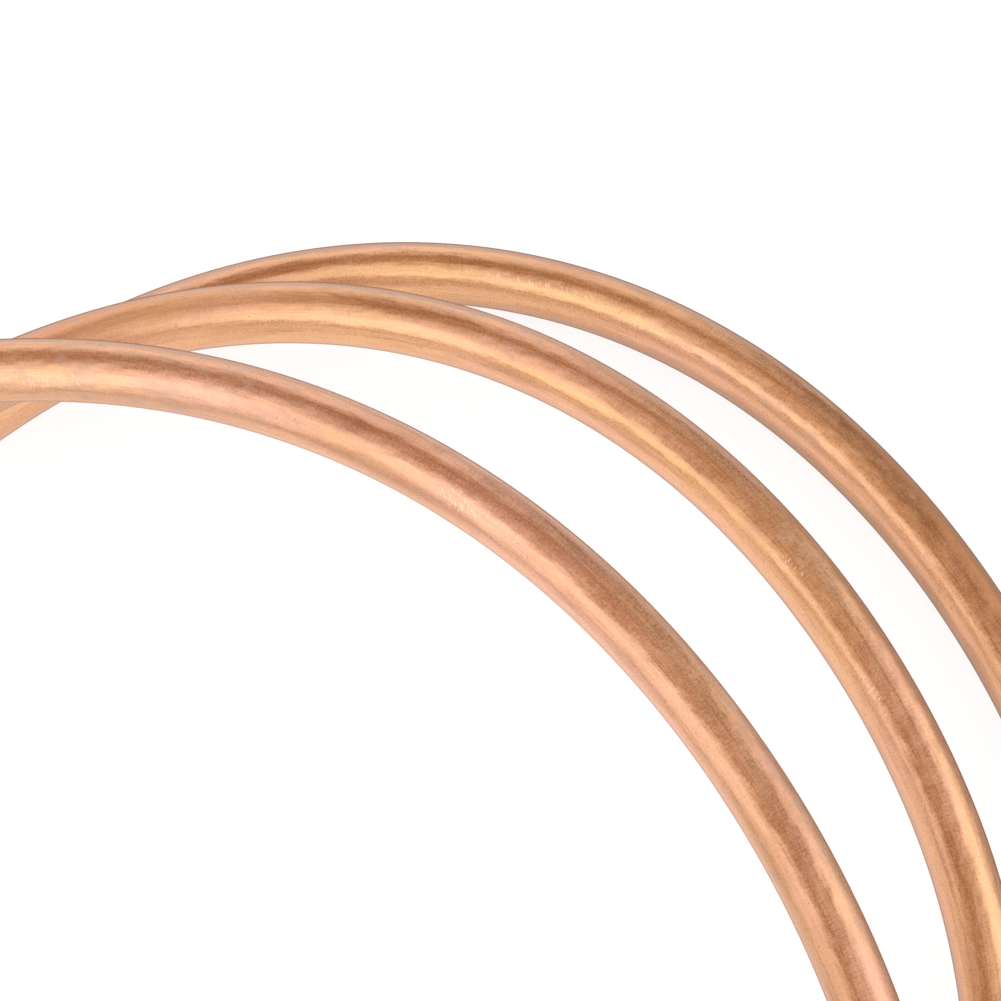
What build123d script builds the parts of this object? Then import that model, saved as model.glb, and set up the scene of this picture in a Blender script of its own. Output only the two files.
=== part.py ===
from build123d import *
import math
import os

# A loose coil of soft copper tube, lying flat on the floor. Millimetres and degrees.
# +Z is up, +X is right and +Y is away from someone who looks at the coil from its front.
# Seen from above, the tube winds clockwise as it rises, so the coil is left-handed.
# A place along the tube is its angle, counted clockwise from the back of the lowest turn,
# so that it grows by 360 in each turn.

# Tube section and stock length
tube_diameter = 10.0
tube_wall = 1.0
tube_length = 2000.0
end_chamfer = 0.25

# Straight tube left at both cut ends, where a fitting grips it
straight_end = 30.0

# Below the first bend the tube has sprung almost straight. This tail reaches out from under
# the middle turn, so that a fitting can come onto its end.
tail_length = 90.0
tail_radius = 600.0

# Where the first bend starts
first_bend_angle = -62.0

# Mean radius of the lowest turn, and how much wider each next turn has sprung open
lowest_radius = 108.2
middle_opening = -1.2
top_opening = 25.5

# How far a turn has slid over the one below it
middle_slide_right = -18.4
middle_slide_back = -10.8
top_slide_right = -38.2
top_slide_back = -40.1

# How far hand bending has left every turn out of round, and in which direction
oval = 4.0
oval_angle = 107.3
lobe = 3.9
lobe_angle = 10.2

# A turn slides and opens over this part of its round, at the front
slide_start_angle = 104.0
slide_span_angle = 180.0

# It lies level, and over this part climbs by one layer before it crosses the turn below
climb_start_angle = 133.0
climb_span_angle = 126.0
turn_gap = 0.3

# The route is made of pairs of tangent arcs, each pair over this angle or a little less
arc_pair_angle = 40.0
walk_step_angle = 0.5


def eased(share):
    """Goes smoothly from 0 to 1, with no jump in bend at either end."""
    share = min(max(share, 0.0), 1.0)
    return share**3 * (10 - 15 * share + 6 * share**2)


def slid(middle_change, top_change, angle):
    """What the slides to the middle and the top turn have added up to at this place."""
    to_middle = eased((angle - slide_start_angle) / slide_span_angle)
    to_top = eased((angle - 360 - slide_start_angle) / slide_span_angle)
    return middle_change * to_middle + top_change * to_top


def tube_radius(angle):
    """Distance of the tube's middle line from the centre of its own turn."""
    oval_part = oval * math.cos(math.radians(2 * (angle - oval_angle)))
    lobe_part = lobe * math.cos(math.radians(3 * (angle - lobe_angle)))
    return lowest_radius + slid(middle_opening, top_opening, angle) + oval_part + lobe_part


def height(angle, right, back):
    """Height of the middle line. Turns that cross are at one angle from the middle turn's
    centre, and so at one stage of their climbs, and keep a whole layer apart."""
    seen = math.degrees(math.atan2(right - middle_slide_right, back - middle_slide_back))
    seen += 360 * round((angle - seen) / 360)
    turns_begun = math.ceil(max(seen, 0.0) / 360) + 1
    starts = [360 * turn + climb_start_angle for turn in range(turns_begun)]
    layers = sum(eased((seen - start) / climb_span_angle) for start in starts)
    return tube_diameter / 2 + (tube_diameter + turn_gap) * layers


def middle_line(angle):
    """A point of the tube's middle line."""
    sine, cosine = math.sin(math.radians(angle)), math.cos(math.radians(angle))
    right = slid(middle_slide_right, top_slide_right, angle) + tube_radius(angle) * sine
    back = slid(middle_slide_back, top_slide_back, angle) + tube_radius(angle) * cosine
    return Vector(right, back, height(angle, right, back))


def direction(angle):
    """The way the tube runs there."""
    step = walk_step_angle / 2
    return (middle_line(angle + step) - middle_line(angle - step)).normalized()


def last_bend_angle():
    """Where the last bend ends, so that the tube has its whole length."""
    angle = first_bend_angle
    wound = 0.0
    here = middle_line(angle)
    while wound < tube_length - tail_length - 2 * straight_end:
        angle += walk_step_angle
        there = middle_line(angle)
        wound += (there - here).length
        here = there
    return angle


def arc_pair(start, end):
    """Two arcs that meet tangentially, along the middle line from one place to another."""
    start_point, start_way = middle_line(start), direction(start)
    end_point, end_way = middle_line(end), direction(end)
    chord = end_point - start_point
    bend = 2 * (1 - start_way.dot(end_way))
    along = chord.dot(start_way + end_way)
    reach = (math.sqrt(along**2 + bend * chord.dot(chord)) - along) / bend
    meeting_point = (start_point + end_point + (start_way - end_way) * reach) / 2
    first_arc = TangentArc(start_point, meeting_point, tangent=start_way)
    second_arc = TangentArc(meeting_point, end_point, tangent=first_arc % 1)
    return [first_arc, second_arc]


def tail_arc(start_point, start_way):
    """The slack arc that leads from the tail's straight end to the first bend."""
    swing = math.degrees(tail_length / tail_radius)
    chord = 2 * tail_radius * math.sin(math.radians(swing / 2))
    far_point = start_point - start_way.rotate(Axis.Z, swing / 2) * chord
    return TangentArc(far_point, start_point, tangent=start_way.rotate(Axis.Z, swing))


def tube_route():
    """The tube's middle line: a straight end, arcs all round, and a straight end."""
    bent = last_bend_angle() - first_bend_angle
    pairs = math.ceil(bent / arc_pair_angle)
    places = [first_bend_angle + bent * i / pairs for i in range(pairs + 1)]
    arcs = [tail_arc(middle_line(first_bend_angle), direction(first_bend_angle))]
    for start, end in zip(places, places[1:]):
        arcs += arc_pair(start, end)
    first_point = arcs[0] @ 0 - (arcs[0] % 0) * straight_end
    last_point = arcs[-1] @ 1 + (arcs[-1] % 1) * straight_end
    runs = [Line(first_point, arcs[0] @ 0)] + arcs + [Line(arcs[-1] @ 1, last_point)]
    return Wire([edge for run in runs for edge in run.edges()])


route = tube_route()
section_plane = Plane(origin=route @ 0, z_dir=route % 0)
section = section_plane * (Circle(tube_diameter / 2) - Circle(tube_diameter / 2 - tube_wall))
coil = sweep(section, path=route)

# The cutter leaves a small chamfer on the outer edge of both ends
for end in (route @ 0, route @ 1):
    circles = coil.edges().filter_by(GeomType.CIRCLE)
    at_end = [edge for edge in circles if (edge.arc_center - end).length < tube_wall / 2]
    coil = chamfer(max(at_end, key=lambda edge: edge.radius), end_chamfer)

# The origin is on the floor, under the middle of the coil
box = coil.bounding_box()
to_origin = Vector(-(box.min.X + box.max.X) / 2, -(box.min.Y + box.max.Y) / 2)
copper_tube = Pos(to_origin) * coil

os.makedirs("parts", exist_ok=True)
export_step(copper_tube, "parts/copper_tube.step")

section_area = math.pi * ((tube_diameter / 2) ** 2 - (tube_diameter / 2 - tube_wall) ** 2)
bend_radii = [edge.radius for edge in route.edges().filter_by(GeomType.CIRCLE)]
print(f"bend radii {min(bend_radii):.1f} to {max(bend_radii):.1f}")
print(f"route length {route.length:.2f}, bent over {last_bend_angle() - first_bend_angle:.1f} degrees")
print(f"volume {copper_tube.volume:.1f}, section times length {section_area * route.length:.1f}")
print(f"lowest turn's centre at {to_origin.X:.2f}, {to_origin.Y:.2f}")
for name, at in (("lower end", 0), ("upper end", 1)):
    print(name, route @ at + to_origin, "along", route % at)
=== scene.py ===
"""A loose coil of soft copper tube on a pale floor, dressed and lit for its picture.

The coil is one length of drawn tube. Its middle line follows the same rule as the solid's:
three turns that slid over one another, each with its own centre and radius. The wall is
swept along that line by Geometry Nodes, so that draw lines, chatter and oxide follow the
tube. Sizes are in millimetres in the dataclasses and metres in the meshes.
"""

import logging
import math
from dataclasses import dataclass, field
from enum import Enum
from typing import Any

import bpy
from mathutils import Matrix, Vector

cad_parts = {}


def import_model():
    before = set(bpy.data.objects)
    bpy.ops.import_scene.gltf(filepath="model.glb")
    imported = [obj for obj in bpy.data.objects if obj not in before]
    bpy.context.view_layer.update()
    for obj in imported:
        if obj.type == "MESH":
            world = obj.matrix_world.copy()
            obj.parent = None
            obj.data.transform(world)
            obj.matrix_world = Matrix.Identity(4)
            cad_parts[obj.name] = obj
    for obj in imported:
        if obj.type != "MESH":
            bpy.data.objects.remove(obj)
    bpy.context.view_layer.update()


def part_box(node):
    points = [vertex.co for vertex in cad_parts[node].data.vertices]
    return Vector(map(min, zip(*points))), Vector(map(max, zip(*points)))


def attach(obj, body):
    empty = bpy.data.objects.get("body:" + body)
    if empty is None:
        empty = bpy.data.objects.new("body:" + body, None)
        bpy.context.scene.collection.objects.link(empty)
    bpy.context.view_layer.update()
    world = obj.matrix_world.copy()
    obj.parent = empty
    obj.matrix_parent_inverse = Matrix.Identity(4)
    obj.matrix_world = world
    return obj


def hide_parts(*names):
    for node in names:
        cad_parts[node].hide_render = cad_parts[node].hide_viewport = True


LOG = logging.getLogger("copper_coil")
PLACE_ATTRIBUTE = "tube_place"
ROW_ATTRIBUTE = "tube_row"
MM = 0.001

Colour = tuple[float, float, float]
Stretch = tuple[float, float, float]
Socket = bpy.types.NodeSocket
WHITE: Colour = (1.0, 1.0, 1.0)
EVEN: Stretch = (1.0, 1.0, 1.0)


def rgba(colour: Colour) -> tuple[float, float, float, float]:
    """Gives a colour as a node socket takes it."""
    return (*colour, 1.0)


def eased(share: float) -> float:
    """Goes smoothly from 0 to 1, with no jump in bend at either end."""
    share = min(max(share, 0.0), 1.0)
    return share**3 * (10 - 15 * share + 6 * share**2)


@dataclass(frozen=True)
class Mottle:
    """A noise on the tube, and the two values between which it comes in as a mask.

    A stretch has its two parts across the tube and then the part along it. Under 1, the noise
    is drawn out that way.
    """

    scale: float
    detail: float
    roughness: float
    stretch: Stretch = EVEN
    low: float = 0.0
    high: float = 1.0
    strength: float = 1.0


class Graph:
    """A node tree with short calls for the nodes that the coil's rules need."""

    def __init__(self, tree: bpy.types.NodeTree) -> None:
        """Keeps the geometry or shader tree that the nodes go into."""
        self.tree = tree

    def add(self, kind: str, inputs: dict[Any, Any] | None = None, **settings: Any) -> bpy.types.Node:
        """Adds a node, sets its options, and fills or links its inputs.

        Args:
            kind: The node's type name.
            inputs: Input names or numbers, with a value or an output socket for each.
            settings: Options of the node, such as its operation.

        Returns:
            The new node.
        """
        node = self.tree.nodes.new(kind)
        for name, value in settings.items():
            setattr(node, name, value)
        for key, value in (inputs or {}).items():
            self.feed(node.inputs[key], value)
        return node

    def group(self, tree: bpy.types.NodeTree, inputs: dict[str, Any]) -> bpy.types.Node:
        """Adds a shader node group, and fills or links its inputs."""
        return self.add("ShaderNodeGroup", inputs, node_tree=tree)

    def feed(self, socket: Socket, value: Any) -> None:
        """Links an output to this input, or sets the input to a plain value.

        Args:
            socket: The input.
            value: An output socket, a number, a vector, a colour, a name or a material.
        """
        if isinstance(value, Socket):
            self.tree.links.new(value, socket)
        else:
            socket.default_value = value

    def math(self, operation: str, first: Any, second: Any = 0.0, clamp: bool = False) -> Socket:
        """Adds a Math node, held between 0 and 1 if clamp is set, and gives its result."""
        inputs = {0: first, 1: second}
        return self.add("ShaderNodeMath", inputs, operation=operation, use_clamp=clamp).outputs[0]

    def plus(self, first: Any, second: Any, clamp: bool = False) -> Socket:
        """Adds two numbers, held between 0 and 1 if clamp is set."""
        return self.math("ADD", first, second, clamp)

    def minus(self, first: Any, second: Any) -> Socket:
        """Takes the second number from the first."""
        return self.math("SUBTRACT", first, second)

    def times(self, first: Any, second: Any) -> Socket:
        """Multiplies two numbers."""
        return self.math("MULTIPLY", first, second)

    def over(self, first: Any, second: Any, clamp: bool = False) -> Socket:
        """Divides the first number by the second, held between 0 and 1 if clamp is set."""
        return self.math("DIVIDE", first, second, clamp)

    def combine(self, x: Any = 0.0, y: Any = 0.0, z: Any = 0.0) -> Socket:
        """Makes a vector of three numbers."""
        return self.add("ShaderNodeCombineXYZ", {0: x, 1: y, 2: z}).outputs[0]

    def parts(self, vector: Any) -> Any:
        """Splits a vector into its three outputs."""
        return self.add("ShaderNodeSeparateXYZ", {0: vector}).outputs

    def vector(self, operation: str, first: Any, second: Any = (0.0, 0.0, 0.0)) -> Socket:
        """Adds a Vector Math node for an operation such as ADD, and gives the vector."""
        return self.add("ShaderNodeVectorMath", {0: first, 1: second}, operation=operation).outputs[0]

    def dot(self, first: Any, second: Any) -> Socket:
        """Multiplies two vectors to a number, their dot product."""
        node = self.add("ShaderNodeVectorMath", {0: first, 1: second}, operation="DOT_PRODUCT")
        return node.outputs["Value"]

    def scaled(self, vector: Any, by: Any) -> Socket:
        """Multiplies a vector by a number."""
        return self.add("ShaderNodeVectorMath", {0: vector, "Scale": by}, operation="SCALE").outputs[0]

    def noise(self, vector: Any, scale: float, detail: float = 2.0, roughness: float = 0.5) -> Socket:
        """Adds a noise texture, finer with its scale, and gives a value around one half."""
        inputs = {"Vector": vector, "Scale": scale, "Detail": detail, "Roughness": roughness}
        return self.add("ShaderNodeTexNoise", inputs).outputs[0]

    def texture(self, place: Any, mottle: Mottle) -> Socket:
        """Adds a mottle's noise at a place in millimetres, drawn out by its stretch."""
        drawn_out = self.vector("MULTIPLY", place, mottle.stretch)
        return self.noise(drawn_out, mottle.scale, mottle.detail, mottle.roughness)

    def mask(self, place: Any, mottle: Mottle) -> Socket:
        """Adds a mottle as a mask, which goes from 0 to the mottle's strength."""
        return self.span(self.texture(place, mottle), mottle.low, mottle.high, 0.0, mottle.strength)

    def span(self, value: Any, low: Any, high: Any, to_low: Any = 0.0, to_high: Any = 1.0) -> Socket:
        """Maps a value from one span to another, smoothly and held at both ends."""
        inputs = {"Value": value, "From Min": low, "From Max": high, "To Min": to_low, "To Max": to_high}
        return self.add("ShaderNodeMapRange", inputs, interpolation_type="SMOOTHSTEP").outputs[0]

    def blend(self, share: Any, first: Any, second: Any, way: str = "MIX") -> Socket:
        """Mixes two colours.

        Args:
            share: How much of the second colour there is.
            first: The first colour.
            second: The second colour.
            way: How they are mixed, such as MULTIPLY.

        Returns:
            The mixed colour.
        """
        node = self.tree.nodes.new("ShaderNodeMix")
        node.data_type = "RGBA"
        node.blend_type = way
        sockets = {s.identifier: s for s in node.inputs}
        self.feed(sockets["Factor_Float"], share)
        self.feed(sockets["A_Color"], first)
        self.feed(sockets["B_Color"], second)
        return next(s for s in node.outputs if s.identifier == "Result_Color")


def cleared(block: Any) -> Graph:
    """Clears the nodes of a material or a world.

    Args:
        block: The material or the world.

    Returns:
        Its empty graph.
    """
    block.use_nodes = True
    block.node_tree.nodes.clear()
    return Graph(block.node_tree)


class Wind(Enum):
    """Which way the tube winds as it rises, seen from above."""

    CLOCKWISE = 1
    ANTICLOCKWISE = -1


@dataclass(frozen=True)
class Slide:
    """Where the centre of a turn has slid to, and how much wider that turn is."""

    right_mm: float
    back_mm: float
    opening_mm: float


@dataclass
class CoilLine:
    """The middle line of the tube, by the same rule as the solid's."""

    tube_diameter_mm: float = 10.0
    tube_length_mm: float = 2000.0
    straight_end_mm: float = 30.0
    tail_length_mm: float = 90.0
    tail_radius_mm: float = 600.0
    first_bend_angle: float = -62.0
    lowest_radius_mm: float = 108.2
    middle: Slide = Slide(-18.4, -10.8, -1.2)
    top: Slide = Slide(-38.2, -40.1, 25.5)
    oval_mm: float = 4.0
    oval_angle: float = 107.3
    lobe_mm: float = 3.9
    lobe_angle: float = 10.2
    slide_start_angle: float = 104.0
    slide_span_angle: float = 180.0
    climb_start_angle: float = 133.0
    climb_span_angle: float = 126.0
    turn_gap_mm: float = 0.3
    walk_step_angle: float = 0.5
    tail_steps: int = 60
    wind: Wind = Wind.CLOCKWISE

    def slid(self, angle: float) -> Slide:
        """Gives the slide and opening that have added up at this place.

        Args:
            angle: The place along the tube, in degrees from the back of the lowest turn.

        Returns:
            The centre's slide and the added radius.
        """
        to_middle = eased((angle - self.slide_start_angle) / self.slide_span_angle)
        to_top = eased((angle - 360 - self.slide_start_angle) / self.slide_span_angle)
        return Slide(
            self.middle.right_mm * to_middle + self.top.right_mm * to_top,
            self.middle.back_mm * to_middle + self.top.back_mm * to_top,
            self.middle.opening_mm * to_middle + self.top.opening_mm * to_top,
        )

    def height_mm(self, angle: float, right: float, back: float) -> float:
        """Gives the height of the middle line, which climbs a layer where turns cross.

        Args:
            angle: The place along the tube.
            right: How far right of the lowest turn's centre that place is.
            back: How far behind it that place is.

        Returns:
            The height above the floor.
        """
        seen = math.degrees(math.atan2(right - self.middle.right_mm, back - self.middle.back_mm))
        seen += 360 * round((angle - seen) / 360)
        turns_begun = math.ceil(max(seen, 0.0) / 360) + 1
        starts = [360 * turn + self.climb_start_angle for turn in range(turns_begun)]
        layers = sum(eased((seen - start) / self.climb_span_angle) for start in starts)
        return self.tube_diameter_mm / 2 + (self.tube_diameter_mm + self.turn_gap_mm) * layers

    def point(self, angle: float) -> Vector:
        """Gives one point of the bent part, in millimetres from the lowest turn's centre.

        Args:
            angle: The place along the tube.

        Returns:
            The point.
        """
        turn = self.slid(angle)
        radius = self.lowest_radius_mm + turn.opening_mm
        radius += self.oval_mm * math.cos(math.radians(2 * (angle - self.oval_angle)))
        radius += self.lobe_mm * math.cos(math.radians(3 * (angle - self.lobe_angle)))
        right = turn.right_mm + radius * math.sin(math.radians(angle))
        back = turn.back_mm + radius * math.cos(math.radians(angle))
        return Vector((right * self.wind.value, back, self.height_mm(angle, right, back)))

    def bent_points(self) -> list[Vector]:
        """Walks the bends until the tube has its whole length.

        Returns:
            The points of all bends, in order.
        """
        bent_length = self.tube_length_mm - self.tail_length_mm - 2 * self.straight_end_mm
        angle = self.first_bend_angle
        points = [self.point(angle)]
        wound = 0.0
        while wound < bent_length:
            angle += self.walk_step_angle
            points.append(self.point(angle))
            wound += (points[-1] - points[-2]).length
        return points

    def tail_points(self, start: Vector, way: Vector) -> list[Vector]:
        """Gives the slack arc of the tail, which reaches back from the first bend.

        Args:
            start: Where the first bend starts.
            way: The way the tube runs there.

        Returns:
            The arc's points, from its far end towards the first bend.
        """
        points = []
        for step in range(self.tail_steps, 0, -1):
            half_swing = self.tail_length_mm / self.tail_radius_mm * step / self.tail_steps / 2
            chord = 2 * self.tail_radius_mm * math.sin(half_swing)
            points.append(start - Matrix.Rotation(half_swing, 3, "Z") @ way * chord)
        return points

    def points(self) -> list[Vector]:
        """Gives the whole middle line, with its tail and straight ends.

        Returns:
            The points, in millimetres from the lowest turn's centre on the floor.
        """
        bends = self.bent_points()
        first_way = (bends[1] - bends[0]).normalized()
        last_way = (bends[-1] - bends[-2]).normalized()
        tail = self.tail_points(bends[0], first_way)
        tail_way = Matrix.Rotation(self.tail_length_mm / self.tail_radius_mm, 3, "Z") @ first_way
        lower_end = tail[0] - tail_way * self.straight_end_mm
        upper_end = bends[-1] + last_way * self.straight_end_mm
        return [lower_end, *tail, *bends, upper_end]


@dataclass(frozen=True)
class TubeWall:
    """Sizes of the wall, and how finely the sweep divides it."""

    radius_mm: float = 5.0
    wall_mm: float = 1.0
    chamfer_mm: float = 0.25
    outer_rings: int = 1240
    bore_rings: int = 300
    sides: int = 50
    waviness_mm: float = 0.035
    wave_length_mm: float = 26.0
    seam_mm: float = 0.002


@dataclass(frozen=True)
class Spot:
    """A place on the wall: along from the lower end, and around from the coil's inside.

    It is 90 degrees round at the floor, 180 on the coil's outside and 270 on top.
    """

    along_mm: float
    around_deg: float
    half_length_mm: float
    half_width_deg: float


# Where the copper is browner, where it is more golden, duller or clouded with oxide, and where something
# has rubbed bright nicks into it
BROWNER_PLACES = (
    Spot(360.0, 222.0, 72.0, 72.0),
    Spot(1050.0, 198.0, 70.0, 48.0),
    Spot(1856.0, 194.0, 90.0, 34.0),
)
GOLDEN_PLACES = (
    Spot(238.0, 290.0, 16.0, 24.0),
    Spot(272.0, 300.0, 22.0, 13.0),
    Spot(990.0, 312.0, 40.0, 16.0),
)
DULL_PLACES = (Spot(892.0, 262.0, 62.0, 60.0),)
CLOUDED_PLACES = (
    Spot(1728.0, 290.0, 46.0, 90.0),
    Spot(1846.0, 232.0, 22.0, 22.0),
    Spot(1768.0, 210.0, 20.0, 22.0),
    Spot(1026.0, 262.0, 16.0, 22.0),
    Spot(955.0, 238.0, 26.0, 16.0),
    Spot(300.0, 305.0, 36.0, 14.0),
)
BRIGHT_RUBS = (
    Spot(1029.0, 295.0, 10.0, 14.0),
    Spot(1050.0, 300.0, 8.0, 9.0),
    Spot(1785.0, 306.0, 7.0, 22.0),
    Spot(1714.0, 312.0, 9.0, 20.0),
    Spot(256.0, 290.0, 20.0, 10.0),
)


@dataclass(frozen=True)
class CopperFinish:
    """Colours and relief of soft drawn copper, as it comes off the bench after handling, with a painted
    sheen and a painted dark edge towards the tube's silhouette.
    """

    name: str = "drawn_copper"
    bright: Colour = (0.95, 0.52, 0.28)
    pink: Colour = (0.94, 0.50, 0.33)
    # brown: tarnish, the browner places, and the painted dark edge along the silhouette
    brown: Colour = (0.54, 0.235, 0.10)
    gold: Colour = (1.0, 0.56, 0.25)
    oxide: Colour = (0.54, 0.40, 0.33)
    # rim: the colour of the painted sheen towards the tube's edges
    rim: Colour = (0.74, 0.53, 0.45)
    pit: Colour = (0.26, 0.12, 0.07)
    fleck: Colour = (1.0, 0.74, 0.50)
    mirrored: Colour = (1.0, 0.96, 0.92)
    metallic: float = 0.84
    roughness: float = 0.28
    rough_swing: float = 0.12
    draw_line_depth_mm: float = 0.012
    chatter_depth_mm: float = 0.013
    grain_depth_mm: float = 0.014
    oxide_share: float = 0.35
    dent_depth_mm: float = 0.28
    pit_share: float = 0.8
    tarnish_share: float = 0.35
    golden_share: float = 0.5
    clouded_share: float = 0.36
    bare_rub_share: float = 0.85
    oxide_roughness: float = 0.25
    dull_roughness: float = 0.22
    streak_shade: tuple[float, float] = (0.86, 1.06)
    # How much painted sheen and painted dark edge there is, on the outer and the inner side, and over
    # which span of facing
    sheen_share: float = 0.52
    inner_sheen_share: float = 0.24
    sheen_facing: tuple[float, float] = (0.25, 0.75)
    edge_shade_share: float = 0.75
    inner_edge_shade_share: float = 0.40
    edge_shade_facing: tuple[float, float] = (0.62, 0.84)
    browner_share: float = 0.85
    mirrored_share: float = 1.0
    browner_places: tuple[Spot, ...] = ()
    golden_places: tuple[Spot, ...] = ()
    dull_places: tuple[Spot, ...] = ()
    clouded_places: tuple[Spot, ...] = ()
    rubs: tuple[Spot, ...] = ()


@dataclass
class CopperCoil:
    """The one piece: its middle line, its swept wall and its finish."""

    node: str = "copper_tube"
    slot: str = "copper"
    line: CoilLine = field(default_factory=CoilLine)
    wall: TubeWall = TubeWall()
    finish: CopperFinish = CopperFinish(
        browner_places=BROWNER_PLACES, golden_places=GOLDEN_PLACES, dull_places=DULL_PLACES,
        clouded_places=CLOUDED_PLACES, rubs=BRIGHT_RUBS
    )
    cut_finish: CopperFinish = CopperFinish(name="sawn_copper", roughness=0.36, oxide_share=0.1)
    bore_finish: CopperFinish = CopperFinish(name="bore_copper", bright=(0.74, 0.36, 0.19), roughness=0.46)

    def offset(self) -> Vector:
        """Finds how far the lowest turn's centre lies from the origin, from the CAD box.

        Returns:
            The offset in metres, level with the floor.
        """
        low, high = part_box(self.node)
        points = [p * MM for p in self.line.points()]
        rights = [p.x for p in points]
        backs = [p.y for p in points]
        right = (low.x + high.x) / 2 - (min(rights) + max(rights)) / 2
        back = (low.y + high.y) / 2 - (min(backs) + max(backs)) / 2
        return Vector((right, back, 0.0))

    def path(self) -> bpy.types.Object:
        """Makes the middle line as a curve in metres, in the frame's place.

        Returns:
            The curve's object.
        """
        offset = self.offset()
        points = [p * MM + offset for p in self.line.points()]
        curve = bpy.data.curves.new("tube_path", "CURVE")
        curve.dimensions = "3D"
        curve.twist_mode = "Z_UP"
        spline = curve.splines.new("POLY")
        spline.points.add(len(points) - 1)
        for place, point in zip(spline.points, points):
            place.co = (*point, 1.0)
        path = bpy.data.objects.new("tube_path", curve)
        bpy.context.scene.collection.objects.link(path)
        return path

    def sweep_inputs(self) -> bpy.types.NodeTree:
        """Makes the empty tree of the sweep, with a named input for each size.

        Returns:
            The geometry node tree.
        """
        tree = bpy.data.node_groups.new("tube_sweep", "GeometryNodeTree")
        face = tree.interface
        face.new_socket("Path", in_out="INPUT", socket_type="NodeSocketGeometry")
        for name in ("Radius", "Wall", "Chamfer", "Waviness", "Wave Length"):
            face.new_socket(name, in_out="INPUT", socket_type="NodeSocketFloat")
        for name in ("Outer Rings", "Bore Rings", "Sides"):
            face.new_socket(name, in_out="INPUT", socket_type="NodeSocketInt")
        face.new_socket("Tube", in_out="OUTPUT", socket_type="NodeSocketGeometry")
        return tree

    def sweep_tree(self, materials: dict[str, bpy.types.Material]) -> bpy.types.NodeTree:
        """Builds the tree that sweeps the hollow wall along the path.

        A grid of rows and columns is bent to the tube: its rows run along the outside, over
        the upper end face, back through the bore and over the lower end face.

        Args:
            materials: The outer, cut and bore materials by those names.

        Returns:
            The geometry node tree, with named inputs for its sizes.
        """
        tree = self.sweep_inputs()
        graph = Graph(tree)
        given = graph.add("NodeGroupInput").outputs
        row, column = self.rows_and_columns(graph, given)
        length, radius = self.place_along(graph, given, row)
        turn = graph.over(graph.times(column, 2 * math.pi), given["Sides"])
        cosine, sine = graph.math("COSINE", turn), graph.math("SINE", turn)
        unit_place = graph.combine(cosine, sine)
        place = graph.vector("ADD", graph.scaled(unit_place, radius), graph.combine(z=length))
        wavy_radius = self.wavy_radius(graph, given, row, length, radius, unit_place)
        sampled = graph.add(
            "GeometryNodeSampleCurve", {"Curves": given["Path"]}, mode="LENGTH", use_all_curves=True
        )
        graph.feed(sampled.inputs["Length"], length)
        tangent, normal = sampled.outputs["Tangent"], sampled.outputs["Normal"]
        binormal = graph.vector("CROSS_PRODUCT", tangent, normal)
        spoke = graph.vector("ADD", graph.scaled(normal, cosine), graph.scaled(binormal, sine))
        position = graph.vector("ADD", sampled.outputs["Position"], graph.scaled(spoke, wavy_radius))
        grid = self.grid(graph, given)
        marked = self.stored(graph, grid, PLACE_ATTRIBUTE, "FLOAT_VECTOR", place)
        marked = self.stored(graph, marked, ROW_ATTRIBUTE, "FLOAT", row)
        bent = graph.add("GeometryNodeSetPosition", {"Geometry": marked, "Position": position})
        self.finish_sweep(graph, given, bent.outputs[0], materials)
        return tree

    def grid(self, graph: Graph, given: Any) -> Socket:
        """Adds the flat grid, with a row for each ring and a column for each side.

        Args:
            graph: The tree that is being built.
            given: The tree's inputs.

        Returns:
            The grid.
        """
        grid = graph.add("GeometryNodeMeshGrid", {"Size X": 1.0, "Size Y": 1.0})
        rows = graph.plus(graph.plus(given["Outer Rings"], given["Bore Rings"]), 3.0)
        graph.feed(grid.inputs["Vertices X"], rows)
        graph.feed(grid.inputs["Vertices Y"], graph.plus(given["Sides"], 1.0))
        return grid.outputs["Mesh"]

    def stored(self, graph: Graph, mesh: Any, name: str, kind: str, value: Any) -> Socket:
        """Keeps a value at every point of a mesh.

        Args:
            graph: The tree that is being built.
            mesh: The mesh.
            name: The attribute's name.
            kind: Its data type.
            value: What it holds.

        Returns:
            The mesh with the attribute.
        """
        inputs = {"Geometry": mesh, "Name": name}
        node = graph.add("GeometryNodeStoreNamedAttribute", inputs, data_type=kind, domain="POINT")
        graph.feed(node.inputs["Value"], value)
        return node.outputs[0]

    def wavy_radius(
        self, graph: Graph, given: Any, row: Any, length: Any, radius: Any, unit_place: Any
    ) -> Socket:
        """Gives the outside its slight waviness.

        Args:
            graph: The tree that is being built.
            given: The tree's inputs.
            row: The row's number.
            length: How far along the tube the row is.
            radius: The row's even radius.
            unit_place: The column's place on a circle of radius 1.

        Returns:
            The radius, wavy on the outside only.
        """
        along = graph.over(length, given["Wave Length"])
        wave_at = graph.vector("ADD", unit_place, graph.combine(z=along))
        wave = graph.minus(graph.noise(wave_at, 1.0, 1.0), 0.5)
        wavy = graph.times(graph.times(wave, given["Waviness"]), 2.0)
        is_outer = graph.math("LESS_THAN", row, graph.minus(given["Outer Rings"], 0.5))
        return graph.plus(radius, graph.times(wavy, is_outer))

    def rows_and_columns(self, graph: Graph, given: Any) -> tuple[Any, Any]:
        """Works out the row along the tube and the column around it, from a point's number.

        Args:
            graph: The tree that is being built.
            given: The tree's inputs.

        Returns:
            The row and the column.
        """
        index = graph.add("GeometryNodeInputIndex").outputs[0]
        across = graph.plus(given["Sides"], 1.0)
        row = graph.math("FLOOR", graph.over(graph.plus(index, 0.5), across))
        column = graph.minus(index, graph.times(row, across))
        return row, column

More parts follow.
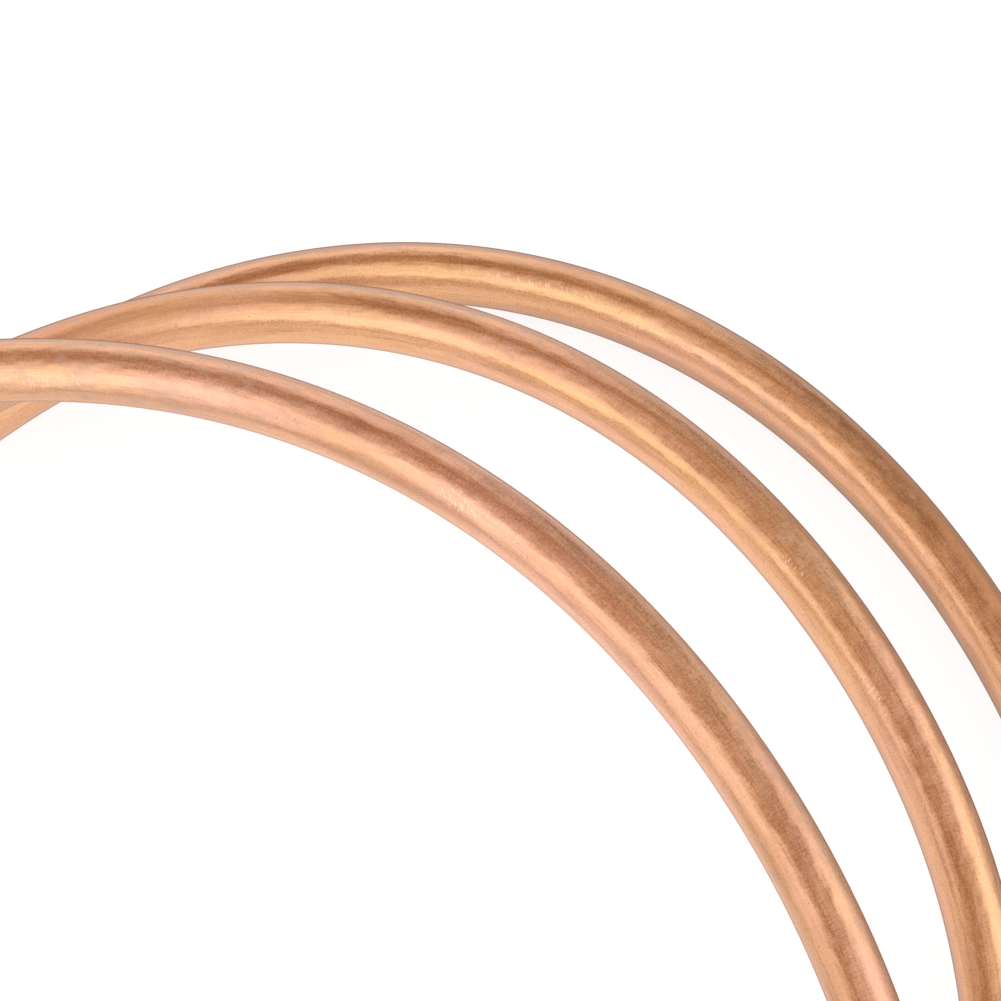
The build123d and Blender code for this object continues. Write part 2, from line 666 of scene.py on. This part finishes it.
    def place_along(self, graph: Graph, given: Any, row: Any) -> tuple[Any, Any]:
        """Works out how far along the tube a row is, and its radius.

        Args:
            graph: The tree that is being built.
            given: The tree's inputs.
            row: The row's number.

        Returns:
            The distance along the path and the radius, in metres.
        """
        whole = graph.add("GeometryNodeCurveLength", {0: given["Path"]}).outputs[0]
        outer, bore = given["Outer Rings"], given["Bore Rings"]
        outer_share = graph.over(row, graph.minus(outer, 1.0), clamp=True)
        wall_span = graph.minus(whole, graph.times(given["Chamfer"], 2.0))
        outer_length = graph.plus(graph.times(outer_share, wall_span), given["Chamfer"])
        bore_row = graph.minus(graph.minus(row, outer), 1.0)
        bore_share = graph.over(bore_row, graph.minus(bore, 1.0), clamp=True)
        bore_length = graph.times(graph.minus(1.0, bore_share), whole)
        last_outer = graph.minus(outer, 0.5)
        past_outer = graph.math("GREATER_THAN", row, last_outer)
        wraps = graph.math("GREATER_THAN", row, graph.plus(graph.plus(outer, bore), 1.5))
        inside = graph.minus(past_outer, wraps)
        length = self.either(graph, inside, bore_length, outer_length)
        length = self.either(graph, wraps, given["Chamfer"], length)
        rim_radius = graph.minus(given["Radius"], given["Chamfer"])
        bore_radius = graph.minus(given["Radius"], given["Wall"])
        first_rim = graph.math("COMPARE", row, outer)
        last_rim = graph.math("COMPARE", row, graph.plus(graph.plus(outer, bore), 1.0))
        rim = graph.plus(first_rim, last_rim, clamp=True)
        radius = self.either(graph, inside, bore_radius, given["Radius"])
        return length, self.either(graph, rim, rim_radius, radius)

    def either(self, graph: Graph, share: Any, if_one: Any, if_zero: Any) -> Any:
        """Gives the first number where the share is 1, and the second where it is 0."""
        step = graph.minus(if_one, if_zero)
        return graph.plus(if_zero, graph.times(share, step))

    def finish_sweep(
        self, graph: Graph, given: Any, bent: Any, materials: dict[str, bpy.types.Material]
    ) -> None:
        """Closes the seams, turns the faces outwards and gives each wall its material.

        Args:
            graph: The tree that is being built.
            given: The tree's inputs.
            bent: The bent grid.
            materials: The outer, cut and bore materials by those names.
        """
        seam = {"Geometry": bent, "Distance": self.wall.seam_mm * MM}
        merged = graph.add("GeometryNodeMergeByDistance", seam).outputs[0]
        turned = graph.add("GeometryNodeFlipFaces", {0: merged}).outputs[0]
        row = graph.add("GeometryNodeInputNamedAttribute", {"Name": ROW_ATTRIBUTE}, data_type="FLOAT")
        mean_row = graph.add(
            "GeometryNodeFieldOnDomain", {0: row.outputs[0]}, data_type="FLOAT", domain="FACE"
        ).outputs[0]
        outer = given["Outer Rings"]
        after_outer = graph.math("GREATER_THAN", mean_row, graph.minus(outer, 0.9))
        in_bore = graph.math("GREATER_THAN", mean_row, graph.plus(outer, 1.1))
        last = graph.plus(graph.plus(outer, given["Bore Rings"]), 0.1)
        after_bore = graph.math("GREATER_THAN", mean_row, last)
        bore_only = graph.minus(in_bore, after_bore)
        cut = graph.minus(after_outer, bore_only)
        smooth = graph.add("GeometryNodeSetShadeSmooth", {"Geometry": turned}, domain="FACE")
        graph.feed(smooth.inputs["Shade Smooth"], graph.minus(1.0, cut))
        whole = graph.add("GeometryNodeRealizeInstances", {0: smooth.outputs[0]}).outputs[0]
        inputs = {"Geometry": whole, "Material": materials["outer"]}
        painted = graph.add("GeometryNodeSetMaterial", inputs).outputs[0]
        for name, where in (("cut", cut), ("bore", bore_only)):
            inputs = {"Geometry": painted, "Selection": where, "Material": materials[name]}
            painted = graph.add("GeometryNodeSetMaterial", inputs).outputs[0]
        graph.add("NodeGroupOutput", {0: painted})

    def mesh_from(self, path: bpy.types.Object, tree: bpy.types.NodeTree) -> bpy.types.Object:
        """Runs the tree on the path and keeps the result as a plain mesh.

        Args:
            path: The middle line.
            tree: The sweep.

        Returns:
            The finished piece's object, at the origin.
        """
        sizes = {
            "Radius": self.wall.radius_mm * MM,
            "Wall": self.wall.wall_mm * MM,
            "Chamfer": self.wall.chamfer_mm * MM,
            "Waviness": self.wall.waviness_mm * MM,
            "Wave Length": self.wall.wave_length_mm * MM,
            "Outer Rings": self.wall.outer_rings,
            "Bore Rings": self.wall.bore_rings,
            "Sides": self.wall.sides,
        }
        modifier = path.modifiers.new("sweep", "NODES")
        modifier.node_group = tree
        for socket in tree.interface.items_tree:
            if socket.name in sizes:
                modifier[socket.identifier] = sizes[socket.name]
        depsgraph = bpy.context.evaluated_depsgraph_get()
        mesh = bpy.data.meshes.new_from_object(path.evaluated_get(depsgraph), depsgraph=depsgraph)
        mesh.name = "copper_tube_coil"
        mesh.attributes.remove(mesh.attributes[ROW_ATTRIBUTE])
        path.modifiers.remove(modifier)
        bpy.data.objects.remove(path)
        piece = bpy.data.objects.new("copper_tube_coil", mesh)
        bpy.context.scene.collection.objects.link(piece)
        return piece

    def build(self) -> bpy.types.Object:
        """Makes the coil and joins it to the frame.

        Returns:
            The finished piece.
        """
        materials = {
            "outer": copper_material(self.finish),
            "cut": copper_material(self.cut_finish),
            "bore": copper_material(self.bore_finish),
        }
        piece = self.mesh_from(self.path(), self.sweep_tree(materials))
        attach(piece, "root")
        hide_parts(self.node)
        return piece


# What drawing, bending and handling have left on the tube, from relief to colour
LINES = Mottle(3.2, 4.0, 0.65, (1.0, 1.0, 0.012))
FINE_LINES = Mottle(9.0, 2.0, 0.6, (1.0, 1.0, 0.012))
CHATTER = Mottle(1.7, 2.0, 0.6, (0.25, 0.25, 1.0))
GRAIN = Mottle(2.4, 3.0, 0.7)
DENTS = Mottle(0.30, 2.0, 0.5, (1.0, 1.0, 0.4))
PITTED = Mottle(0.13, 2.0, 0.5, EVEN, 0.46, 0.60)
NICKED = Mottle(0.7, 2.0, 0.6, EVEN, 0.34, 0.46)
TINTED = Mottle(0.10, 3.0, 0.55, (1.0, 1.0, 0.3), 0.38, 0.62, 0.7)
TARNISHED = Mottle(0.16, 4.0, 0.6, (1.0, 1.0, 0.16), 0.48, 0.68)
THREADED = Mottle(0.8, 3.0, 0.6, (1.0, 1.0, 0.05), 0.50, 0.68, 0.7)
OXIDISED = Mottle(0.30, 5.0, 0.62, (1.0, 1.0, 0.55), 0.57, 0.70)
BROKEN = Mottle(1.3, 4.0, 0.75, EVEN, 0.40, 0.60)
CLOUDY = Mottle(0.42, 5.0, 0.7, (1.0, 1.0, 0.7), 0.42, 0.66)
RAGGED = Mottle(0.5, 4.0, 0.65, (1.0, 1.0, 0.4))
PIT_DEPTH_MM = 0.02
PIT_EDGE = (0.02, 0.15)
NICK_EDGE = (0.18, 0.42)
STREAK_SPAN = (0.35, 0.65)
SPOT_EDGE = (0.45, 1.05)

# Measured from the tube's middle line towards the coil's inside: where the painted sheen and the painted
# dark edge change from the outer side's share to the inner side's
SHEEN_SIDES_M = (-0.002, 0.002)
EDGE_SHADE_SIDES_M = (-0.004, -0.002)

# The top turn is a little pinker. The change starts and ends this far along the tube
PINK_START_MM = 1350.0
PINK_END_MM = 1650.0
PINK_SHARE = 0.3


def shader_group(name: str, sizes: tuple[str, ...], masks: tuple[str, ...]) -> bpy.types.NodeTree:
    """Makes an empty shader node group that takes a place and some sizes.

    Args:
        name: The group's name.
        sizes: The names of its number inputs.
        masks: The names of its number outputs.

    Returns:
        The group.
    """
    tree = bpy.data.node_groups.new(name, "ShaderNodeTree")
    tree.interface.new_socket("Place", in_out="INPUT", socket_type="NodeSocketVector")
    for size in sizes:
        tree.interface.new_socket(size, in_out="INPUT", socket_type="NodeSocketFloat")
    for mask in masks:
        tree.interface.new_socket(mask, in_out="OUTPUT", socket_type="NodeSocketFloat")
    return tree


def pit_mask(graph: Graph, place: Any) -> Socket:
    """Scatters small ragged pits over parts of the tube.

    Args:
        graph: The tree of the surface group.
        place: The place on the tube, in millimetres.

    Returns:
        1 in a pit and 0 elsewhere.
    """
    shake = graph.add("ShaderNodeTexNoise", {"Vector": place, "Scale": 2.0}).outputs[1]
    shaken = graph.vector("ADD", place, graph.scaled(shake, 0.5))
    cells = graph.add("ShaderNodeTexVoronoi", {"Vector": shaken, "Scale": 0.85, "Randomness": 1.0})
    pits = graph.span(cells.outputs["Distance"], *PIT_EDGE, 1.0, 0.0)
    return graph.times(pits, graph.mask(place, PITTED))


def fleck_mask(graph: Graph, place: Any) -> Socket:
    """Scatters short slanted nicks over the whole tube, which the rubs then let through.

    Args:
        graph: The tree of the surface group.
        place: The place on the tube, in millimetres.

    Returns:
        1 in a nick and 0 elsewhere.
    """
    slanted = graph.add(
        "ShaderNodeVectorRotate", {"Vector": place, "Angle": 0.6}, rotation_type="Y_AXIS"
    ).outputs[0]
    drawn_out = graph.vector("MULTIPLY", slanted, (0.5, 0.5, 2.0))
    cells = graph.add("ShaderNodeTexVoronoi", {"Vector": drawn_out, "Scale": 1.3, "Randomness": 1.0})
    nicks = graph.span(cells.outputs["Distance"], *NICK_EDGE, 1.0, 0.0)
    return graph.times(nicks, graph.mask(place, NICKED))


def surface_group() -> bpy.types.NodeTree:
    """Builds the node group of draw lines, chatter, grain, oxide and pits, once.

    Returns:
        The shader node group, which gives masks and a height in millimetres.
    """
    name = "drawn_tube_surface"
    if name in bpy.data.node_groups:
        return bpy.data.node_groups[name]
    sizes = ("Line Depth", "Chatter Depth", "Grain Depth", "Dent Depth", "Oxide Share", "Pit Share")
    masks = ("Tint", "Tarnish", "Oxide", "Clouds", "Pits", "Flecks", "Streaks", "Height")
    tree = shader_group(name, sizes, masks)
    graph = Graph(tree)
    given = graph.add("NodeGroupInput").outputs
    place = graph.scaled(given["Place"], 1000.0)
    grain = graph.texture(place, GRAIN)
    pits = graph.times(pit_mask(graph, place), given["Pit Share"])
    height = graph.times(graph.texture(place, LINES), given["Line Depth"])
    height = graph.plus(height, graph.times(graph.texture(place, CHATTER), given["Chatter Depth"]))
    height = graph.plus(height, graph.times(grain, given["Grain Depth"]))
    height = graph.minus(height, graph.times(pits, PIT_DEPTH_MM))
    height = graph.plus(height, graph.times(graph.texture(place, DENTS), given["Dent Depth"]))
    pinker = graph.span(graph.parts(place)[2], PINK_START_MM, PINK_END_MM, 0.0, PINK_SHARE)
    oxide = graph.times(graph.mask(place, OXIDISED), given["Oxide Share"])
    streaks = graph.plus(graph.times(graph.texture(place, FINE_LINES), 0.5), graph.times(grain, 0.5))
    values = {
        "Tint": graph.plus(graph.mask(place, TINTED), pinker, clamp=True),
        "Tarnish": graph.math("MAXIMUM", graph.mask(place, TARNISHED), graph.mask(place, THREADED)),
        "Oxide": graph.times(oxide, graph.mask(place, BROKEN)),
        "Clouds": graph.mask(place, CLOUDY),
        "Pits": pits,
        "Flecks": fleck_mask(graph, place),
        "Streaks": graph.span(streaks, *STREAK_SPAN),
        "Height": height,
    }
    graph.add("NodeGroupOutput", values)
    return tree


def spot_group() -> bpy.types.NodeTree:
    """Builds the node group that tells how far a place is inside a spot, once.

    Returns:
        The shader node group, whose mask is 1 inside and 0 outside, with a ragged edge.
    """
    name = "tube_spot"
    if name in bpy.data.node_groups:
        return bpy.data.node_groups[name]
    tree = shader_group(name, ("Along", "Around", "Half Length", "Half Width"), ("Mask",))
    graph = Graph(tree)
    given = graph.add("NodeGroupInput").outputs
    place = graph.scaled(given["Place"], 1000.0)
    parts = graph.parts(place)
    turn = graph.math("DEGREES", graph.math("ARCTAN2", parts[1], parts[0]))
    off_turn = graph.math("PINGPONG", graph.minus(turn, given["Around"]), 180.0)
    off_around = graph.over(off_turn, given["Half Width"])
    off_along = graph.over(graph.minus(parts[2], given["Along"]), given["Half Length"])
    squares = graph.plus(graph.times(off_along, off_along), graph.times(off_around, off_around))
    ragged = graph.minus(graph.texture(place, RAGGED), 0.5)
    far = graph.plus(graph.math("SQRT", squares), ragged)
    graph.add("NodeGroupOutput", {"Mask": graph.span(far, *SPOT_EDGE, 1.0, 0.0)})
    return tree


def spots_mask(graph: Graph, place: Any, spots: tuple[Spot, ...]) -> Any:
    """Joins the masks of several spots.

    Args:
        graph: The material's tree.
        place: The place on the tube.
        spots: The spots.

    Returns:
        1 inside any of them and 0 elsewhere.
    """
    mask: Any = 0.0
    for spot in spots:
        sizes = {
            "Place": place,
            "Along": spot.along_mm,
            "Around": spot.around_deg,
            "Half Length": spot.half_length_mm,
            "Half Width": spot.half_width_deg,
        }
        node = graph.group(spot_group(), sizes)
        mask = graph.math("MAXIMUM", mask, node.outputs["Mask"])
    return mask


def body_colour(graph: Graph, place: Any, masks: Any, oxide: Any, finish: CopperFinish) -> Socket:
    """Mixes the copper's own colour, as far as it doesn't depend on the viewer.

    Args:
        graph: The material's tree.
        place: The place on the tube.
        masks: The outputs of the surface group.
        oxide: How much oxide there is.
        finish: The colours and shares.

    Returns:
        The colour.
    """
    colour = graph.blend(masks["Tint"], rgba(finish.bright), rgba(finish.pink))
    tarnish = graph.times(masks["Tarnish"], finish.tarnish_share)
    colour = graph.blend(tarnish, colour, rgba(finish.brown))
    golden = graph.times(spots_mask(graph, place, finish.golden_places), finish.golden_share)
    colour = graph.blend(golden, colour, rgba(finish.gold))
    streak = graph.span(masks["Streaks"], 0.0, 1.0, *finish.streak_shade)
    shade = graph.add("ShaderNodeCombineColor", {0: streak, 1: streak, 2: streak}).outputs[0]
    colour = graph.blend(1.0, colour, shade, "MULTIPLY")
    colour = graph.blend(oxide, colour, rgba(finish.oxide))
    return graph.blend(masks["Pits"], colour, rgba(finish.pit))


def copper_material(finish: CopperFinish) -> bpy.types.Material:
    """Makes the procedural copper for one of the tube's surfaces.

    Args:
        finish: Its colours and relief.

    Returns:
        The material.
    """
    material = bpy.data.materials.new(finish.name)
    graph = cleared(material)
    place = graph.add("ShaderNodeAttribute", attribute_name=PLACE_ATTRIBUTE).outputs["Vector"]
    settings = {
        "Place": place,
        "Line Depth": finish.draw_line_depth_mm,
        "Chatter Depth": finish.chatter_depth_mm,
        "Grain Depth": finish.grain_depth_mm,
        "Dent Depth": finish.dent_depth_mm,
        "Oxide Share": finish.oxide_share,
        "Pit Share": finish.pit_share,
    }
    masks = graph.group(surface_group(), settings).outputs
    clouded = graph.times(spots_mask(graph, place, finish.clouded_places), masks["Clouds"])
    oxide = graph.math("MAXIMUM", masks["Oxide"], graph.times(clouded, finish.clouded_share))
    rubbed = graph.times(spots_mask(graph, place, finish.rubs), masks["Flecks"])
    colour = body_colour(graph, place, masks, oxide, finish)

    # Painted sheen and painted shade: towards its edges, as it turns away from the viewer, the tube is
    # painted greyer and pinker, with a thin painted brown dark edge
    facing = graph.add("ShaderNodeLayerWeight", {"Blend": 0.5}).outputs["Facing"]
    across = graph.parts(place)[0]
    sheen_share = graph.span(across, *SHEEN_SIDES_M, finish.sheen_share, finish.inner_sheen_share)
    painted_sheen = graph.times(graph.span(facing, *finish.sheen_facing), sheen_share)
    colour = graph.blend(painted_sheen, colour, rgba(finish.rim))
    # Browner at the listed places
    browner = graph.times(spots_mask(graph, place, finish.browner_places), finish.browner_share)
    colour = graph.blend(browner, colour, rgba(finish.brown))
    edge_shade_shares = (finish.edge_shade_share, finish.inner_edge_shade_share)
    edge_shade_share = graph.span(across, *EDGE_SHADE_SIDES_M, *edge_shade_shares)
    edge_shade = graph.times(graph.span(facing, *finish.edge_shade_facing), edge_shade_share)
    colour = graph.blend(edge_shade, colour, rgba(finish.brown))
    colour = graph.blend(rubbed, colour, rgba(finish.fleck))

    # Copper that is itself seen in copper is paler, so that the tint isn't taken twice
    in_mirror = graph.add("ShaderNodeLightPath").outputs["Is Glossy Ray"]
    colour = graph.blend(graph.times(in_mirror, finish.mirrored_share), colour, rgba(finish.mirrored))

    rough = graph.times(masks["Streaks"], finish.rough_swing)
    rough = graph.plus(rough, finish.roughness - finish.rough_swing / 2)
    rough = graph.plus(rough, graph.times(oxide, finish.oxide_roughness))
    dull = spots_mask(graph, place, finish.dull_places)
    rough = graph.plus(rough, graph.times(dull, finish.dull_roughness))
    bump = graph.add("ShaderNodeBump", {"Strength": 1.0, "Distance": MM, "Height": masks["Height"]})
    bare = graph.span(oxide, 0.0, 1.0, finish.metallic, finish.metallic / 2)
    bare = graph.times(bare, graph.minus(1.0, graph.times(rubbed, finish.bare_rub_share)))
    inputs = {"Base Color": colour, "Metallic": bare, "Roughness": rough, "Normal": bump.outputs[0]}
    shader = graph.add("ShaderNodeBsdfPrincipled", inputs)
    # The painted dark edge also tints the grazing reflection brown
    graph.feed(shader.inputs["Specular Tint"], graph.blend(edge_shade, rgba(WHITE), rgba(finish.brown)))
    graph.add("ShaderNodeOutputMaterial", {"Surface": shader.outputs[0]})
    return material


@dataclass(frozen=True)
class Panel:
    """A flat soft lamp that faces the coil."""

    name: str
    azimuth: float
    elevation: float
    distance: float
    width: float
    height: float
    level: float


@dataclass(frozen=True)
class Patch:
    """A soft-edged patch of the surround that the copper mirrors. Angles are in degrees."""

    azimuth: float
    elevation: float
    half_width: float
    half_height: float
    edge: float
    level: float
    tint: Colour = (1.0, 1.0, 1.0)


@dataclass(frozen=True)
class Viewpoint:
    """Where the picture is taken from, and its angle of view."""

    aim_from_lowest_centre_mm: tuple[float, float] = (16.98, 69.69)
    elevation: float = 68.47
    distance_mm: float = 569.05
    focal_length_mm: float = 125.87
    sensor_mm: float = 36.0


@dataclass
class Studio:
    """The pale floor, the soft lamps, the mirrored surround and the camera."""

    viewpoint: Viewpoint = Viewpoint()
    floor_size: float = 8.0
    surround_level: float = 0.92
    mirrored_white: Colour = (1.10, 1.09, 1.09)
    floor_shade: float = 0.22
    floor_glow: float = 0.86
    mirrored_floor_left: float = 0.62
    mirrored_floor_right: float = 0.40
    mirrored_floor_front: float = 0.60
    mirrored_floor_inside: float = 1.0
    mirrored_left_share: float = 0.74
    floor_sides_m: tuple[float, float] = (-0.12, 0.16)
    floor_depths_m: tuple[float, float] = (-0.04, 0.07)
    floor_left_m: tuple[float, float] = (-0.02, 0.05)
    floor_ring_m: tuple[float, float] = (0.09, 0.15)
    lamps: tuple[Panel, ...] = (
        Panel("front_left_lamp", 210.0, 45.0, 1.1, 1.10, 1.10, 0.46),
        Panel("back_right_lamp", 72.0, 33.0, 1.1, 0.55, 0.70, 0.44),
    )
    patches: tuple[Patch, ...] = (
        Patch(320.0, 59.0, 34.0, 23.0, 8.0, 0.33, (1.0, 0.50, 0.14)),
        Patch(31.0, 12.0, 9.0, 60.0, 6.0, 0.18, (1.0, 0.50, 0.14)),
    )

    def place(self, panel: Panel, target: Vector) -> tuple[Vector, Any]:
        """Works out where a panel stands and how it faces the coil.

        Args:
            panel: The panel. Its azimuth is counted clockwise from the back.
            target: What it faces.

        Returns:
            The place and the rotation.
        """
        turn, rise = math.radians(panel.azimuth), math.radians(panel.elevation)
        level = math.cos(rise)
        way = Vector((math.sin(turn) * level, math.cos(turn) * level, math.sin(rise)))
        return target + way * panel.distance, (-way).to_track_quat("-Z", "Y")

    def lamp(self, panel: Panel, target: Vector) -> None:
        """Adds a soft lamp whose face has the panel's level of brightness.

        Args:
            panel: The lamp's place, size and level.
            target: What it faces.
        """
        light = bpy.data.lights.new(panel.name, "AREA")
        light.shape = "RECTANGLE"
        light.size = panel.width
        light.size_y = panel.height
        light.energy = panel.level * math.pi * panel.width * panel.height
        lamp = bpy.data.objects.new(panel.name, light)
        lamp.location, turned = self.place(panel, target)
        lamp.rotation_euler = turned.to_euler()
        lamp.visible_camera = False
        bpy.context.scene.collection.objects.link(lamp)

    def floor(self) -> None:
        """Adds the pale floor, which renders as white and keeps a light shadow."""
        half = self.floor_size / 2
        points = [(-half, -half, 0), (half, -half, 0), (half, half, 0), (-half, half, 0)]
        mesh = bpy.data.meshes.new("floor")
        mesh.from_pydata(points, [], [(0, 1, 2, 3)])
        material = bpy.data.materials.new("pale_floor")
        graph = cleared(material)
        rays = graph.add("ShaderNodeLightPath").outputs
        shown = graph.times(rays["Is Camera Ray"], self.floor_glow)
        in_picture = graph.add("ShaderNodeEmission", {"Strength": shown})
        in_metal = graph.add("ShaderNodeEmission", {"Strength": self.mirrored_floor(graph)})
        inputs = {0: rays["Is Glossy Ray"], 1: in_picture.outputs[0], 2: in_metal.outputs[0]}
        glow = graph.add("ShaderNodeMixShader", inputs)
        shade = self.floor_shade
        pale = graph.add("ShaderNodeBsdfDiffuse", {"Color": rgba((shade, shade, shade))})
        both = graph.add("ShaderNodeAddShader", {0: pale.outputs[0], 1: glow.outputs[0]})
        graph.add("ShaderNodeOutputMaterial", {"Surface": both.outputs[0]})
        mesh.materials.append(material)
        floor = bpy.data.objects.new("floor", mesh)
        bpy.context.scene.collection.objects.link(floor)

    def mirrored_floor(self, graph: Graph) -> Socket:
        """Works out how bright the floor is where the copper mirrors it.

        Args:
            graph: The floor's tree.

        Returns:
            The level, by the place on the floor.
        """
        place = graph.add("ShaderNodeTexCoord").outputs["Object"]
        parts = graph.parts(place)
        sides = (self.mirrored_floor_left, self.mirrored_floor_right)
        outside = graph.span(parts[0], *self.floor_sides_m, *sides)
        depths = (self.mirrored_floor_front, self.mirrored_floor_inside)
        inside = graph.span(parts[1], *self.floor_depths_m, *depths)
        at_left = graph.span(parts[0], *self.floor_left_m, self.mirrored_left_share, 1.0)
        inside = graph.times(inside, at_left)
        from_middle = graph.add("ShaderNodeVectorMath", {0: place}, operation="LENGTH").outputs["Value"]
        return graph.span(from_middle, *self.floor_ring_m, inside, outside)

    def patch_mask(self, graph: Graph, way: Any, patch: Patch) -> Any:
        """Tells how far a direction is inside a patch of the surround.

        Args:
            graph: The world's tree.
            way: The direction.
            patch: The patch.

        Returns:
            1 inside, 0 outside, with a soft edge.
        """
        turn, rise = math.radians(patch.azimuth), math.radians(patch.elevation)
        ahead = (math.sin(turn) * math.cos(rise), math.cos(turn) * math.cos(rise), math.sin(rise))
        across = (math.cos(turn), -math.sin(turn), 0.0)
        upwards = (-math.sin(turn) * math.sin(rise), -math.cos(turn) * math.sin(rise), math.cos(rise))
        shares = [graph.dot(way, axis) for axis in (ahead, across, upwards)]
        sideways = graph.math("ABSOLUTE", graph.math("ARCTAN2", shares[1], shares[0]))
        off_level = graph.math("ABSOLUTE", graph.math("ARCSINE", shares[2]))
        mask: Any = 1.0
        for angle, half in ((sideways, patch.half_width), (off_level, patch.half_height)):
            inner, outer = math.radians(half - patch.edge), math.radians(half + patch.edge)
            mask = graph.times(mask, graph.span(angle, inner, outer, 1.0, 0.0))
        return mask

    def surround(self) -> None:
        """Makes the world: white where it is seen, with darker patches in the metal's mirror image."""
        world = bpy.data.worlds.new("soft_surround")
        graph = cleared(world)
        way = graph.add("ShaderNodeTexCoord").outputs["Generated"]
        mirrored: Any = rgba(self.mirrored_white)
        for patch in self.patches:
            dim = rgba(tuple(patch.level * part for part in patch.tint))
            mirrored = graph.blend(self.patch_mask(graph, way, patch), mirrored, dim)
        rays = graph.add("ShaderNodeLightPath").outputs
        seen = graph.plus(rays["Is Camera Ray"], rays["Is Transmission Ray"], clamp=True)
        level = graph.span(seen, 0.0, 1.0, self.surround_level, 1.0)
        plain = graph.add("ShaderNodeBackground", {"Color": rgba(WHITE), "Strength": level})
        in_metal = graph.add("ShaderNodeBackground", {"Color": mirrored, "Strength": 1.0})
        inputs = {0: rays["Is Glossy Ray"], 1: plain.outputs[0], 2: in_metal.outputs[0]}
        both = graph.add("ShaderNodeMixShader", inputs)
        graph.add("ShaderNodeOutputWorld", {"Surface": both.outputs[0]})
        bpy.context.scene.world = world

    def camera(self, lowest_centre: Vector) -> None:
        """Adds the camera, which looks towards the back and down on the coil.

        Args:
            lowest_centre: The centre of the lowest turn, on the floor.
        """
        view = self.viewpoint
        right, back = view.aim_from_lowest_centre_mm
        aim = lowest_centre + Vector((right, back, 0.0)) * MM
        tilt = math.radians(90.0 - view.elevation)
        look = Vector((0.0, math.sin(tilt), -math.cos(tilt)))
        lens = bpy.data.cameras.new("camera")
        lens.lens = view.focal_length_mm
        lens.sensor_width = view.sensor_mm
        lens.clip_start = 0.01
        camera = bpy.data.objects.new("camera", lens)
        camera.location = aim - look * view.distance_mm * MM
        camera.rotation_euler = (tilt, 0.0, 0.0)
        bpy.context.scene.collection.objects.link(camera)
        bpy.context.scene.camera = camera

    def build(self, lowest_centre: Vector) -> None:
        """Sets up everything round the coil.

        Args:
            lowest_centre: The centre of the lowest turn, on the floor.
        """
        self.camera(lowest_centre)
        self.surround()
        self.floor()
        target = Vector((0.0, 0.0, 0.015))
        for panel in self.lamps:
            self.lamp(panel, target)
        bpy.context.scene.view_settings.view_transform = "Standard"


def main() -> None:
    """Loads the frame, builds the coil and its studio, and reports each piece."""
    logging.basicConfig(level=logging.INFO, format="%(name)s: %(message)s")
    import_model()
    coil = CopperCoil()
    studio = Studio()
    studio.build(coil.offset())
    piece = coil.build()
    LOG.info("%s: %d faces, for node %s", piece.name, len(piece.data.polygons), coil.node)


if __name__ == "__main__":
    main()
